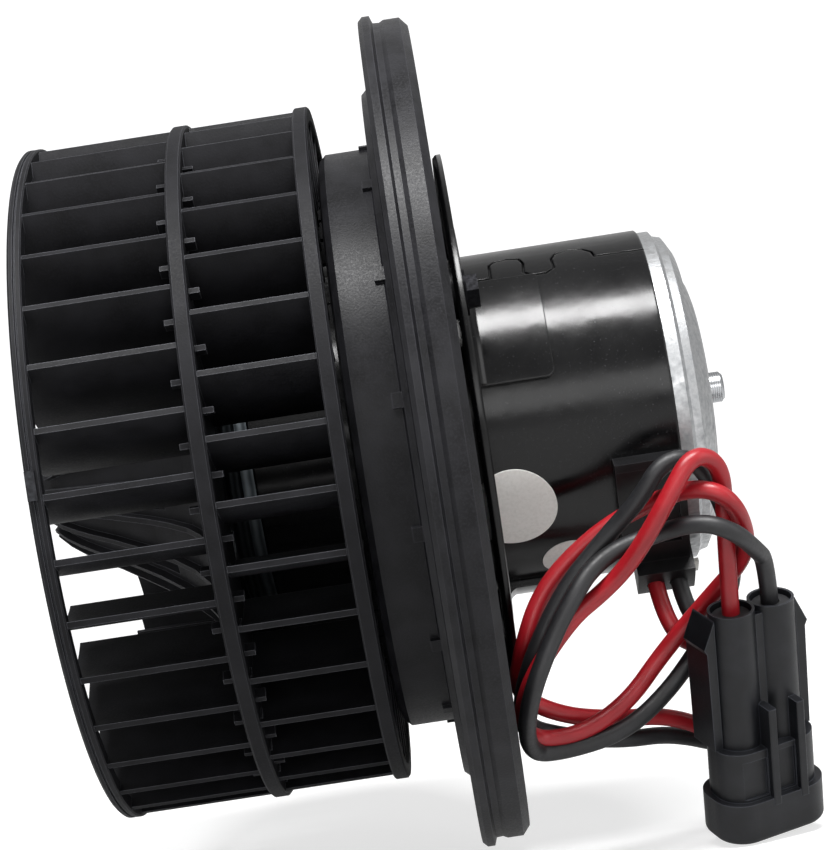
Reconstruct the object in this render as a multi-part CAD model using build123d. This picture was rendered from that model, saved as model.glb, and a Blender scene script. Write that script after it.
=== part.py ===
from build123d import *
import os
from math import cos, pi, radians, sin, tan

# Car cabin blower motor: a permanent-magnet motor carried in a moulded flange, with a
# two-row squirrel-cage wheel on its shaft and a two-way plug on a pair of wires.
# All sizes in mm. X runs along the shaft, + towards the motor's tail. Z is up.
# Origin: centre of the flange's seating face, the one towards the wheel.

# driving dimensions: motor case and shaft
CAN_R, CAN_T = 38.1, 1.6
CAN_X0, CAN_X1 = -36.2, 54.6
SHAFT_R = 3.5
RUN_FIT = 0.03                      # radial play of the shaft in its bushes
BUSH_R = 7.5
MAG_T = 6.7
AIR_GAP = 1.0                       # between the magnets and the armature
COMM_R, COMM_LEN = 11.5, 12.0
CARD_T = 1.8

# driving dimensions: mounting flange, from the case outwards
ISO_T = 6.1                         # rubber between the case and the cup
CUP_W = 27.3                        # from the case to the outside of the collar
COLLAR_T, COLLAR_X = 2.6, -13.7
DISC_W, DISC_X = 13.1, -1.7         # raised disc around the collar
SEAT_W = 15.8                       # seating face, from the disc to the lip
PLATE_T = 2.8
LIP_W, LIP_STEP = 3.2, 1.3          # the lip stands above the band behind it
BAND_X, BACK_X, BACK_STEP = 9.5, 10.8, 2.0
BACK_T = 3.2
HOLE_R, HOLE_N, HOLE_A0 = 2.75, 3, 90.0
SLEEVE_R = 5.2

# driving dimensions: mount ring
RING_X, RING_T = 11.8, 1.6
RING_GAP = 3.7                      # from the ring's rim to the outside of the collar
TAB_T, TAB_HALF, TAB_LEN = 1.7, 19.5, 18.5
TAB_ANGLES = (30.5, 150.5, -89.5)
SCREW_R, SCREW_OUT = 1.9, 15.9      # screws stand this far out from the case

# driving dimensions: wheel
RIM_R, RIM_T, RIM_W = 76.4, 3.4, 3.0
WEB_T = 3.3                         # hub disc
WEB_GAP = 5.0                       # from the front end cap's shoulder to the hub disc
ROW_LEN = 33.0                      # inlet row, from the hub disc to its rim's face
NOSE = 9.2                          # the bell's nose stands out of the inlet rim
BLADES, HUB_RIBS = 36, 20
BLADE_DEPTH, BLADE_LAG, BLADE_T, BLADE_SAG = 20.2, 5.7, 1.3, 1.7
BLADE_A_IN, BLADE_A_OUT = -1.2, 3.8  # the two rows stand half a pitch apart
STUB = 2.2                          # the blades' pegs show this far through the hub disc

# driving dimensions: wires and plug
WIRE_R = 1.9
LEAD_A, LEAD_PITCH = -64.0, 5.0     # where the wires leave the block
PLUG_TOP = (63.6, -40.0, -46.0)     # middle of the plug's wire end
PLUG_LEN, PLUG_W, PLUG_D = 52.0, 23.2, 13.4
BARREL_R, CAVITY = 5.0, 4.9         # CAVITY is half the pitch of the two cavities
BARREL_LEN = 31.0
SEAL_R, SEAL_IN, CRIMP_IN = 3.88, 7.6, 15.0

# what follows from them
CASE_IN = CAN_R - CAN_T
COLLAR_R = CAN_R + CUP_W
DISC_R = COLLAR_R + DISC_W
LIP_R = DISC_R + SEAT_W
BAND_R = LIP_R - LIP_STEP
BACK_R = BAND_R - BACK_STEP
HOLE_PCR = BACK_R - BACK_T - 3.8
CUP_R = CAN_R + ISO_T + 0.4
BORE_R = CAN_R + ISO_T - 2.2        # the cup's inner lip, which the rubber ring fits
SCREW_PCR = CAN_R + SCREW_OUT
RING_R = COLLAR_R - RING_GAP
MAG_RI = CASE_IN - MAG_T
CORE_R = MAG_RI - AIR_GAP
CORE_X0, CORE_X1 = CAN_X0 + 22.2, CAN_X1 - 28.6
MAG_X0, MAG_X1 = CORE_X0 - 8.0, CORE_X1 + 5.0
CARD_X = CAN_X1 - 6.0
COMM_X1 = CARD_X - 0.6
COMM_X0 = COMM_X1 - COMM_LEN
SPIGOT_T = 1.6
WEB_X1 = CAN_X0 - WEB_GAP
WEB_X0 = WEB_X1 - WEB_T
IN_X0 = WEB_X0 - ROW_LEN
IN_X1 = IN_X0 + RIM_W
OUT_X1 = COLLAR_X - 0.3
OUT_X0 = OUT_X1 - RIM_W - 0.2
NOSE_X = IN_X0 - NOSE
HUB_R = RIM_R + 0.3                 # hub disc and motor-side rim
BLADE_RO = RIM_R - 0.7
BLADE_RI = BLADE_RO - BLADE_DEPTH
WEB_R = BLADE_RI - 0.5
PEG_R = BLADE_RO - 3.1
SHAFT_X0, SHAFT_X1 = NOSE_X + 1.1, CAN_X1 + 14.9
LEAD_X = (CAN_X1 - 8.6, CAN_X1 - 8.6 + LEAD_PITCH)

os.makedirs("parts", exist_ok=True)
nodes = {}


def save(name, shape):
    shape.label = name
    nodes[name] = shape
    export_step(shape, f"parts/{name}.step")
    print(f"{name:22s} volume {shape.volume:10.1f}  solids {len(shape.solids())}")


def turn(points):
    """Solid of revolution about X from (x, r) points."""
    outline = Polyline(*[(x, 0, r) for x, r in points], close=True)
    return revolve(make_face(outline), Axis.X, 360)


def at(angle, r, x=0.0):
    """Point at an angle from the -Y side, + towards +Z."""
    a = radians(angle)
    return (x, -r * cos(a), r * sin(a))


def across(x, angle=0.0, r=0.0):
    """Plane square to the shaft, centred at an angle and a radius."""
    return Plane(origin=at(angle, r, x), x_dir=(0, 1, 0), z_dir=(1, 0, 0))


def rod(r, x0, x1, angle=0.0, out=0.0):
    """Cylinder along X, on the shaft or beside it."""
    return extrude(across(x0, angle, out) * Circle(r), x1 - x0)


def tube(ro, ri, x0, x1):
    return rod(ro, x0, x1) - rod(ri, x0 - 1, x1 + 1)


def spin(shape, angle):
    """Turn a shape built on the -Y side to an angle."""
    return shape.rotate(Axis.X, -angle)


def bar(x0, x1, r0, r1, width, angle):
    """Rectangular bar between two radii, at an angle."""
    block = Pos((x0 + x1) / 2, -(r0 + r1) / 2, 0) * Box(x1 - x0, r1 - r0, width)
    return spin(block, angle)


def wedge(r, x0, x1, a0, a1):
    """Sector prism between two angles, larger than r, for cutting arcs."""
    steps = max(2, int((a1 - a0) / 20) + 1)
    rim = [at(a0 + (a1 - a0) * i / steps, r * 1.25, x0) for i in range(steps + 1)]
    return extrude(make_face(Polyline((x0, 0, 0), *rim, close=True)), x1 - x0, dir=(1, 0, 0))


def sector(ro, ri, x0, x1, a0, a1):
    """Part of a tube between two angles."""
    return tube(ro, ri, x0, x1) & wedge(ro, x0 - 1, x1 + 1, a0, a1)


def ring_of(count, first=0.0):
    """Equally spaced angles."""
    return [first + i * 360 / count for i in range(count)]


# mounting flange: lip and band, seating face, raised disc, collar and the cup inside it
COLLAR_IN = COLLAR_R - COLLAR_T
flange = turn([
    (0, LIP_R - 1.0), (1.0, LIP_R), (LIP_W - 0.6, LIP_R), (LIP_W, LIP_R - 1.7),
    (LIP_W + 1.4, BAND_R - 0.5), (LIP_W + 2.4, BAND_R), (BAND_X - 0.4, BAND_R),
    (BACK_X, BACK_R), (BACK_X, BACK_R - BACK_T),
    (PLATE_T, BACK_R - BACK_T), (PLATE_T, DISC_R), (DISC_X + PLATE_T, DISC_R - 1.5),
    (DISC_X + PLATE_T, COLLAR_R), (BAND_X - 1.0, COLLAR_R), (BAND_X - 1.0, COLLAR_IN),
    (COLLAR_X + 2.6, COLLAR_IN), (COLLAR_X + 2.6, CUP_R), (-4.0, CUP_R), (-4.0, BORE_R),
    (COLLAR_X, BORE_R), (COLLAR_X, COLLAR_R - 3.4), (COLLAR_X + 0.5, COLLAR_R - 1.4),
    (COLLAR_X + 1.9, COLLAR_R), (DISC_X - 0.6, COLLAR_R), (DISC_X, COLLAR_R + 0.8),
    (DISC_X, DISC_R - 1.2), (-0.4, DISC_R), (0, DISC_R + 1.0),
])
posts = [rod(5.4, COLLAR_X + 1.0, RING_X, a, SCREW_PCR) for a in TAB_ANGLES]
pilots = [rod(SCREW_R, RING_X - 16, RING_X + 14, a, SCREW_PCR) for a in TAB_ANGLES]
sleeves = [rod(SLEEVE_R, 1.0, BAND_X - 1.0, a, HOLE_PCR) for a in ring_of(HOLE_N, HOLE_A0)]
holes = [rod(HOLE_R, -6, 24, a, HOLE_PCR) for a in ring_of(HOLE_N, HOLE_A0)]
plate_ribs = [bar(0.6, BAND_X - 1.0, COLLAR_R - 0.6, BACK_R - 2.8, 1.6, a) for a in ring_of(24, 7.5)]
cup_ribs = [
    bar(COLLAR_X + 2.1, COLLAR_X + 8.1, CUP_R - 0.6, COLLAR_IN + 0.4, 1.6, a) for a in ring_of(12, 15.5)
]
keys = [bar(DISC_X - 2.4, DISC_X - 0.2, COLLAR_R - 0.6, COLLAR_R + 0.9, 3.2, a) for a in ring_of(15, 6.1)]
flange = flange + posts + sleeves + plate_ribs + cup_ribs + keys
flange = flange - pilots - holes
save("mounting_flange", flange)

# rubber isolator ring
isolator = turn([
    (COLLAR_X + 1.1, CAN_R), (COLLAR_X + 1.1, BORE_R - 0.05), (-3.98, BORE_R - 0.05),
    (-3.98, CAN_R + ISO_T), (-2.8, CAN_R + ISO_T), (-2.0, CAN_R + ISO_T - 1.0), (-2.0, CAN_R),
])
save("isolator_ring", isolator)

# motor case: a rolled can with an interlocking seam, cut as a shallow groove
can = turn([
    (CAN_X0, CASE_IN), (CAN_X0, CAN_R - 0.3), (CAN_X0 + 0.3, CAN_R),
    (CAN_X1 - 0.3, CAN_R), (CAN_X1, CAN_R - 0.3), (CAN_X1, CASE_IN),
])
SEAM_A, SEAM_X = 59.0, 32.0         # the seam's line and the middle of its two tongues
SEAM = [                            # (from the middle along X, angle about the shaft)
    (-11.8, 54), (-11.6, 63), (-10.2, 65.6), (-7.4, 66.4), (-4.8, 65), (-4.1, 61), (-4.4, 55),
    (-2.6, 52.6), (0.4, 52.6), (2.3, 55), (2.2, 61), (3.4, 65), (6.2, 66.4), (9.2, 65.4),
    (11.2, 62), (11.6, 58.5),
]
seam_at = Plane(origin=at(SEAM_A, CAN_R - 0.75), x_dir=(1, 0, 0), z_dir=at(SEAM_A, 1))
seam_way = 1 if seam_at.y_dir.Z > 0 else -1
seam = [(CAN_X0, 54)] + [(SEAM_X + x, a) for x, a in SEAM] + [(CAN_X1, 58)]
seam = [(x, seam_way * radians(a - SEAM_A) * CAN_R) for x, a in seam]
seam_lines = [Line(p, q) for p, q in zip(seam, seam[1:])]
can = can - extrude(seam_at * trace(seam_lines, line_width=0.55), 2.0)
save("motor_can", can)


def end_cap(x):
    """Stepped pressed cap whose spigot fits the case's end at x."""
    spigot = CASE_IN - SPIGOT_T
    return turn([
        (x - 4.5, CASE_IN), (x, CASE_IN), (x, CAN_R - 0.7), (x + 2.7, CAN_R - 0.7), (x + 3.5, CAN_R - 1.9),
        (x + 5.3, CAN_R - 2.4), (x + 6.0, CAN_R - 3.6), (x + 7.1, CAN_R - 5.6), (x + 7.1, CAN_R - 9.1),
        (x + 7.9, CAN_R - 11.0), (x + 9.0, CAN_R - 13.2), (x + 9.6, CAN_R - 15.6), (x + 9.9, CAN_R - 21.7),
        (x + 10.3, BUSH_R + 3.4), (x + 10.9, BUSH_R + 0.9), (x + 10.9, SHAFT_R + 1.1),
        (x + 9.4, SHAFT_R + 1.1), (x + 9.4, BUSH_R), (x + 1.2, BUSH_R), (x + 1.2, BUSH_R + 2.5),
        (x + 8.4, BUSH_R + 3.7),
        (x + 8.1, CAN_R - 16.1), (x + 7.2, CAN_R - 14.3), (x + 6.1, CAN_R - 12.1), (x + 5.4, CAN_R - 10.1),
        (x + 5.4, CAN_R - 6.5), (x + 4.4, CAN_R - 4.9), (x + 1.2, spigot), (x - 4.5, spigot),
    ])


vent_angles = (45, 135, 225, 315)
tail_cap = end_cap(CAN_X1)
tail_cap = tail_cap - [bar(CAN_X1 - 4, CAN_X1 + 16, 16.8, 20.8, 9.0, a) for a in vent_angles]
save("tail_end_cap", tail_cap)
front_cap = mirror(end_cap(CAN_X1), about=Plane(origin=((CAN_X0 + CAN_X1) / 2, 0, 0), z_dir=(1, 0, 0)))
front_cap = front_cap - [bar(CAN_X0 - 16, CAN_X0 + 4, 16.8, 20.8, 9.0, a) for a in vent_angles]
save("front_end_cap", front_cap)


def bush(x0, x1):
    """Sintered bearing bush with bevelled ends."""
    bore = SHAFT_R + RUN_FIT
    return turn([
        (x0, bore), (x0, BUSH_R - 0.7), (x0 + 0.7, BUSH_R),
        (x1 - 0.7, BUSH_R), (x1, BUSH_R - 0.7), (x1, bore),
    ])


save("tail_bush", bush(CAN_X1 + 1.4, CAN_X1 + 9.2))
save("front_bush", bush(CAN_X0 - 9.2, CAN_X0 - 1.4))

# magnets and the two sheet springs that press them apart
MAG_HALF = 66.0
SPRING_T = 0.6
for name, a in (("magnet_upper", 90), ("magnet_lower", 270)):
    save(name, sector(CASE_IN, MAG_RI, MAG_X0, MAG_X1, a - MAG_HALF, a + MAG_HALF))
for name, a in (("magnet_spring_near", 0), ("magnet_spring_far", 180)):
    spring = sector(CASE_IN, CASE_IN - SPRING_T, MAG_X0 + 3, MAG_X1 - 3, a - 23.6, a + 23.6)
    for side in (-22.4, 22.4):
        leg = bar(MAG_X0 + 6.5, MAG_X1 - 6.5, CASE_IN - 5.4, CASE_IN - 0.4, SPRING_T, a + side)
        spring = spring + leg
    save(name, spring)

# mount ring: a pressed ring with three tabs that hug the case
ring = turn([
    (RING_X, CAN_R + 7.5), (RING_X, RING_R - 0.8), (RING_X + 0.8, RING_R), (RING_X + 1.9, RING_R),
    (RING_X + 1.9, RING_R - 1.4), (RING_X + RING_T, RING_R - 1.9), (RING_X + RING_T, CAN_R + 8.1),
    (RING_X + RING_T + 0.9, CAN_R + 7.1), (RING_X + RING_T + 0.9, CAN_R + 0.3),
    (RING_X + 0.9, CAN_R + 0.3), (RING_X + 0.9, CAN_R + 6.7),
])
TAB_X1 = RING_X + TAB_LEN
bend = turn([
    (RING_X + 2.3, CAN_R + 1.0), (RING_X + 2.3, CAN_R + 3.8), (RING_X + 2.6, CAN_R + 2.9),
    (RING_X + 3.2, CAN_R + 2.2), (RING_X + 4.2, CAN_R + TAB_T - 0.1),
])
for a in TAB_ANGLES:
    tab = sector(CAN_R + TAB_T, CAN_R, RING_X + 1.2, TAB_X1, a - TAB_HALF, a + TAB_HALF)
    corners = tab.edges().filter_by(lambda e: e.center().X > TAB_X1 - 1 and abs(e.length - TAB_T) < 0.2)
    ring = ring + fillet(corners, 1.6)
    ring = ring + (bend & wedge(CAN_R, RING_X, TAB_X1, a - TAB_HALF + 0.4, a + TAB_HALF - 0.4))
ring = ring - [rod(SCREW_R + 0.5, RING_X - 5, RING_X + 7, a, SCREW_PCR) for a in TAB_ANGLES]
for a in TAB_ANGLES:
    for side in (-37, 37):
        ring = ring - bar(RING_X - 3, RING_X + 5, CAN_R + 10.6, RING_R - 4.4, 15, a + side)
save("mount_ring", ring)


def ring_screw(angle):
    """Washer-head hexagon screw, seated on the ring and cut into its post."""
    seat = RING_X + RING_T
    face = across(seat, angle, SCREW_PCR)
    head = extrude(face * RegularPolygon(4.0, 6), 3.4) & extrude(face * Circle(3.95), 3.4)
    dimple = rod(2.3, seat + 2.5, seat + 4.5, angle, SCREW_PCR)
    head = head + rod(4.9, seat, seat + 0.9, angle, SCREW_PCR)
    return head + rod(SCREW_R, seat - 14.5, seat + 0.1, angle, SCREW_PCR) - dimple


for i, a in enumerate(TAB_ANGLES):
    save(f"ring_screw_{i + 1}", ring_screw(a))


def sticker(x, angle, r, thick=0.15):
    """Round sticker, left bare, wrapped on the case."""
    face = Plane(origin=at(angle, CAN_R - 6, x), x_dir=(1, 0, 0), z_dir=at(angle, 1))
    return tube(CAN_R + thick, CAN_R, x - r - 1, x + r + 1) & extrude(face * Circle(r), 12)


save("balance_label", sticker(RING_X + 5.8, -30.5, 9.3))
save("small_label", sticker(RING_X + 17.0, -57.5, 6.5))

# rotor: shaft, armature core, coils, commutator and thrust washers
shaft = rod(SHAFT_R, SHAFT_X0, SHAFT_X1)
shaft = chamfer(shaft.edges().filter_by(GeomType.CIRCLE), 0.7)
shaft = shaft - Pos(SHAFT_X0 + 9, 0, SHAFT_R + 1.5) * Box(19, 10, 4)
save("shaft", shaft)

SLOTS = 12
COIL_PCR, COIL_R = CORE_R - 8.2, 4.0
core = rod(CORE_R, CORE_X0, CORE_X1) - rod(SHAFT_R, CORE_X0 - 1, CORE_X1 + 1)
for a in ring_of(SLOTS):
    core = core - bar(CORE_X0 - 1, CORE_X1 + 1, CORE_R - 1.5, CORE_R + 1.5, 2.6, a)
    core = core - rod(COIL_R + 0.2, CORE_X0 - 1, CORE_X1 + 1, a, COIL_PCR)
    core = core - bar(CORE_X0 - 1, CORE_X1 + 1, CORE_R - 5.9, CORE_R - 0.9, 5.4, a)
save("armature_core", core)
coils = [rod(COIL_R, CORE_X0 - 1, CORE_X1 + 1, a, COIL_PCR) for a in ring_of(SLOTS)]
inner = SHAFT_R + 2.5
HEAD = [(0.3, inner), (0.3, CORE_R - 3.8), (4.0, CORE_R - 2.4), (7.4, CORE_R - 5.2), (8.8, CORE_R - 14.8)]
front_head = turn([(CORE_X0 - x, r) for x, r in HEAD] + [(CORE_X0 - 7.0, inner)])
tail_head = turn([(CORE_X1 + x, r) for x, r in HEAD] + [(CORE_X1 + 9.4, inner)])
save("armature_windings", front_head + coils + [tail_head])

commutator = turn([
    (COMM_X0, SHAFT_R), (COMM_X0, COMM_R + 1.1), (COMM_X0 + 2.2, COMM_R + 1.7),
    (COMM_X0 + 2.6, COMM_R), (COMM_X1, COMM_R), (COMM_X1, SHAFT_R),
])
cuts = [bar(COMM_X0 + 2.8, COMM_X1 + 0.6, COMM_R - 0.8, COMM_R + 0.8, 0.5, a) for a in ring_of(SLOTS, 15)]
save("commutator", commutator - cuts)

washers = [tube(6.2, SHAFT_R + RUN_FIT, x, x + 1.0) for x in (COMM_X1 + 2.0, CORE_X0 - 11.2)]
save("thrust_washers", Compound(children=washers))


def blade(x0, x1, angle):
    """One curved blade: its outer edge leads and its hollow side faces forward."""
    tip = Vector(*at(angle, BLADE_RO, x0))
    root = Vector(*at(angle - BLADE_LAG, BLADE_RI, x0))
    chord = (root - tip).normalized()
    side = Vector(0, -chord.Z, chord.Y)
    if side.Y * sin(radians(angle)) + side.Z * cos(radians(angle)) > 0:
        side = side * -1
    middle = (tip + root) * 0.5 + side * BLADE_SAG
    thick, thin = side * (BLADE_T / 2), side * (BLADE_T * 0.35)
    outline = Wire([
        ThreePointArc(tip + thick, middle + thick, root + thin).edge(),
        Line(root + thin, root - thin).edge(),
        ThreePointArc(root - thin, middle - thick, tip - thick).edge(),
        Line(tip - thick, tip + thick).edge(),
    ])
    return extrude(Face(outline), x1 - x0, dir=(1, 0, 0))


def peg(x0, x1, angle):
    """The blade's peg, which locks the row into the hub disc."""
    return bar(x0, x1, PEG_R - 1.3, PEG_R + 1.3, 1.2, angle - 0.5)


# wheel: two blade rows pegged to the hub disc
angles_in, angles_out = ring_of(BLADES, BLADE_A_IN), ring_of(BLADES, BLADE_A_OUT)
inlet = turn([
    (IN_X0, RIM_R - RIM_T), (IN_X0, RIM_R - 0.5), (IN_X0 + 0.5, RIM_R), (IN_X0 + 1.2, RIM_R),
    (IN_X0 + 1.4, RIM_R - 0.4), (IN_X0 + 1.6, RIM_R - 0.4), (IN_X0 + 1.8, RIM_R),
    (IN_X1 - 0.3, RIM_R), (IN_X1, RIM_R - 0.3), (IN_X1, RIM_R - RIM_T),
])
inlet = inlet + [blade(IN_X0 + 0.6, WEB_X0, a) for a in angles_in]
inlet = inlet + [peg(WEB_X0 - 0.5, WEB_X1 + STUB, a) for a in angles_in]
save("wheel_inlet_row", inlet)

motor_row = turn([
    (OUT_X0, HUB_R - 3.0), (OUT_X0, HUB_R - 0.3), (OUT_X0 + 0.3, HUB_R),
    (OUT_X1 - 0.4, HUB_R), (OUT_X1, HUB_R - 0.4), (OUT_X1, HUB_R - 3.0),
])
motor_row = motor_row + [blade(WEB_X1, OUT_X1 - 0.6, a) for a in angles_out]
motor_row = motor_row + [peg(WEB_X0 - STUB, WEB_X1 + 0.5, a) for a in angles_out]
save("wheel_motor_row", motor_row)

NOSE_R = SHAFT_R + 4.1
BELL = [                            # the bell's curve, as shares of its length and its rise
    (0.0, 0.0), (0.03, 0.015), (0.07, 0.06), (0.13, 0.115), (0.205, 0.165), (0.285, 0.21), (0.395, 0.265),
    (0.5, 0.325), (0.62, 0.395), (0.735, 0.475), (0.84, 0.565), (0.915, 0.665), (0.965, 0.77),
    (0.993, 0.9), (1.0, 1.0),
]
bell = [(NOSE_X + u * (WEB_X0 - NOSE_X), NOSE_R + v * (WEB_R - NOSE_R)) for u, v in BELL]
bell_in = [(x + 1.5, r - 1.1) for x, r in bell[3:-2]] + [(WEB_X0 + 1.3, bell[-2][1] - 1.0), (WEB_X1, WEB_R)]
boss = [
    (bell[3][0] + 1.8, NOSE_R + 1.4), (NOSE_X + 24.7, SHAFT_R + 3.5), (NOSE_X + 24.7, SHAFT_R),
    (NOSE_X, SHAFT_R),
]
hub = turn(
    bell + [(WEB_X0, HUB_R - 0.4), (WEB_X0 + 0.4, HUB_R), (WEB_X1 - 0.4, HUB_R), (WEB_X1, HUB_R - 0.4)]
    + bell_in[::-1] + boss
)
crest = [(x - 1.3, r + 1.0) for x, r in bell[2:-1]]
sunk = [(x - 0.2, r - 0.5) for x, r in bell[2:-1]]
rib_face = make_face(Polyline(*[(x, -r, 0) for x, r in sunk + crest[::-1]], close=True))
rib = extrude(rib_face, 0.65, both=True, dir=(0, 0, 1))
hub = hub + [spin(rib, a) for a in ring_of(HUB_RIBS, -22)]
slot = Pos(bell[8][0] + 1.5, -(bell[8][1] - 1.9), 0) * Rotation(0, 0, -36) * Box(8.5, 12, 3.6)
hub = hub - [peg(WEB_X0 - 1, WEB_X1 + 1, a) for a in angles_in + angles_out]
hub = hub - [spin(slot, a) for a in ring_of(HUB_RIBS // 2, -13)]
save("wheel_hub", hub)

clip = turn([
    (NOSE_X - 0.8, SHAFT_R + 0.02), (NOSE_X - 1.2, SHAFT_R + 1.2), (NOSE_X - 0.8, NOSE_R - 1.2),
    (NOSE_X, NOSE_R - 1.2), (NOSE_X, SHAFT_R + 0.02),
])
save("wheel_clip", clip)
save("balance_clip", sector(RIM_R + 0.9, RIM_R, IN_X0 + 0.2, IN_X1 - 0.8, -1.4, 3.0))

# brush gear, on a card inside the tail cap
CARD_R = CASE_IN - SPIGOT_T - 0.2
card = rod(CARD_R, CARD_X, CARD_X + CARD_T) - rod(COMM_R + 2.7, CARD_X - 1, CARD_X + 3)
card = card - [bar(CARD_X - 2, CARD_X + 4, COMM_R + 11.5, COMM_R + 17.5, 10, a) for a in (0, 180)]
save("brush_card", card)


def brush_spring():
    """Folded leaf spring between the brush and the end of its holder."""
    x0, x1, r = CARD_X - 8.1, CARD_X - 3.1, COMM_R + 14.05
    leaves = [bar(x0, x1, r + i * 2.0, r + i * 2.0 + 0.6, 5.0, 0) for i in range(3)]
    middle = (x0 + x1) / 2
    bends = [
        Pos(middle, -(r + 1.3 + i * 2.0), side) * Box(x1 - x0, 2.6, 0.6)
        for i, side in ((0, 2.2), (1, -2.2))
    ]
    return leaves[0] + leaves[1:] + bends


for name, a in (("upper", 90), ("lower", 270)):
    holder = bar(CARD_X - 11.2, CARD_X, COMM_R + 2.9, COMM_R + 19.0, 9.0, 0)
    holder = holder - bar(CARD_X - 10.2, CARD_X - 1.0, COMM_R + 1.9, COMM_R + 20.0, 7.0, 0)
    save(f"brush_holder_{name}", spin(holder, a))
    brush = bar(CARD_X - 9.8, CARD_X - 1.0, COMM_R - 2.0, COMM_R + 14.05, 6.8, 0)
    brush = brush - rod(COMM_R + 0.02, COMM_X0 - 6, CARD_X + 12)
    save(f"brush_{name}", spin(brush, a))
    save(f"brush_spring_{name}", spin(brush_spring(), a))


# terminal block on the case
def lead_hole(x):
    """Hole in the block for one wire."""
    face = Plane(origin=at(LEAD_A, CAN_R + 1.2, x), x_dir=(1, 0, 0), z_dir=at(LEAD_A, 1))
    return extrude(face * Circle(WIRE_R), 12)


TONGUE = (CAN_R + 4.1, CAN_R + 3.1, CAN_X1 - 1.2, CAN_X1 + 1.6, -69.5, -62)
block = sector(CAN_R + 4.2, CAN_R, CAN_X1 - 15.0, CAN_X1 - 0.4, -58, -18)
block = block + sector(CAN_R + 4.8, CAN_R + 3, CAN_X1 - 15.0, CAN_X1 - 0.4, -20.5, -18)
block = block + sector(CAN_R + 7.4, CAN_R, CAN_X1 - 12.4, CAN_X1 + 0.2, -70, -57)
block = block - sector(CAN_R + 5.4, CAN_R + 2.4, CAN_X1 - 10.1, CAN_X1 - 2.1, -48, -24)
block = block - [lead_hole(x) for x in LEAD_X]
block = block - sector(*TONGUE)
save("terminal_block", block)
save("terminal_clip", sector(*TONGUE))

# two-way plug, built upright on its own origin and then set in its place
PLUG = Plane(
    origin=PLUG_TOP,
    x_dir=(cos(radians(24)), sin(radians(24)), 0),
    z_dir=Vector(0.04, -0.36, 1.0).normalized(),
)


def slab(sketch, z0, z1):
    return extrude(Pos(0, 0, z0) * sketch, z1 - z0)


def place(shape):
    return PLUG.location * shape


def each_cavity(sketch):
    """The same sketch over both cavities."""
    return [Pos(side * CAVITY, 0) * sketch for side in (-1, 1)]


SHELL = 1.5
collar = slab(RectangleRounded(PLUG_W + 2.8, PLUG_D + 2.8, 6.6), -PLUG_LEN, -PLUG_LEN + 9.6)
collar = fillet(collar.edges().group_by(Axis.Z)[0], 1.3)
housing = slab(RectangleRounded(PLUG_W, PLUG_D, 5.6), -PLUG_LEN + 2, -BARREL_LEN) + collar
for barrel in each_cavity(Circle(BARREL_R)):
    housing = housing + slab(barrel, -BARREL_LEN - 0.5, 0)
housing = housing + slab(Rectangle(2 * CAVITY, 6.0), -BARREL_LEN - 0.5, -1.5)
for x in (-1.3, 5.6):               # guide rails on the front
    rail = RectangleRounded(1.9, PLUG_D / 2 - 1.8, 0.4)
    housing = housing + slab(Pos(x, -PLUG_D / 2 + 0.8) * rail, -PLUG_LEN + 8, -BARREL_LEN + 9.5)
housing = housing - slab(Pos(2.15, -PLUG_D / 2) * Rectangle(4.6, 1.2), -PLUG_LEN + 10.2, -BARREL_LEN - 1.2)
housing = housing - slab(Pos(-5.4, -PLUG_D / 2) * Rectangle(5.6, 1.0), -PLUG_LEN + 10.2, -BARREL_LEN - 2.0)
socket = RectangleRounded(PLUG_W - 2 * SHELL, PLUG_D - 2 * SHELL, 4.2)
housing = housing - slab(socket, -PLUG_LEN - 1, -BARREL_LEN - 4)
for mouth in each_cavity(Circle(SEAL_R + 0.02)):
    housing = housing - slab(mouth, -SEAL_IN - 0.4, 1)
for flare in each_cavity(Circle(BARREL_R - 0.55)):
    housing = housing - slab(flare, -1.6, 1)
for bore in each_cavity(Circle(2.8)):
    housing = housing - slab(bore, -BARREL_LEN - 5, -SEAL_IN + 0.6)
save("plug_housing", place(housing))

# lock strap: two wings beside the barrels, joined behind them
WING = CAVITY + BARREL_R + 0.05
wing = make_face(Polyline(
    (WING, 0, -1.0), (WING + 2.8, 0, -7.0), (WING + 2.2, 0, -8.2),
    (WING + 2.0, 0, -BARREL_LEN), (WING, 0, -BARREL_LEN), close=True,
))
wing = Pos(0, -1.5, 0) * extrude(wing, 8.6, dir=(0, 1, 0))
strap = slab(Pos(0, BARREL_R + 1.15) * Rectangle(2 * WING + 2, 1.9), -18, -9)
strap = strap + [wing, mirror(wing, about=Plane.YZ)]
save("plug_lock", place(strap))

for name, side in (("red", -1), ("black", 1)):
    seal = slab(Pos(side * CAVITY, 0) * (Circle(SEAL_R) - Circle(WIRE_R)), -SEAL_IN, -1.0)
    save(f"wire_seal_{name}", place(seal))
    crimp = slab(Pos(side * CAVITY, 0) * (Circle(2.75) - Circle(WIRE_R)), -20, -10.6)
    crimp = crimp + slab(Pos(side * CAVITY, 0) * Circle(2.75), -22, -19.8)
    crimp = crimp + slab(Pos(side * CAVITY, 0) * RectangleRounded(3.6, 2.2, 0.4), -36.2, -21.2)
    crimp = crimp + slab(Pos(side * CAVITY, 0) * RectangleRounded(2.8, 0.9, 0.2), -44.5, -21.5)
    save(f"terminal_{name}", place(crimp))


# wires
def route(lead_x, side, above, between):
    """Wire from its hole in the block, by hand-chosen points, into its cavity of the plug."""
    first = [at(LEAD_A, CAN_R + 1.2, lead_x), at(LEAD_A, CAN_R + 18.0, lead_x)]
    last = [PLUG.from_local_coords((side * CAVITY, 0, z)) for z in (above, -CRIMP_IN)]
    return first + between + [tuple(p) for p in last]


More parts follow.
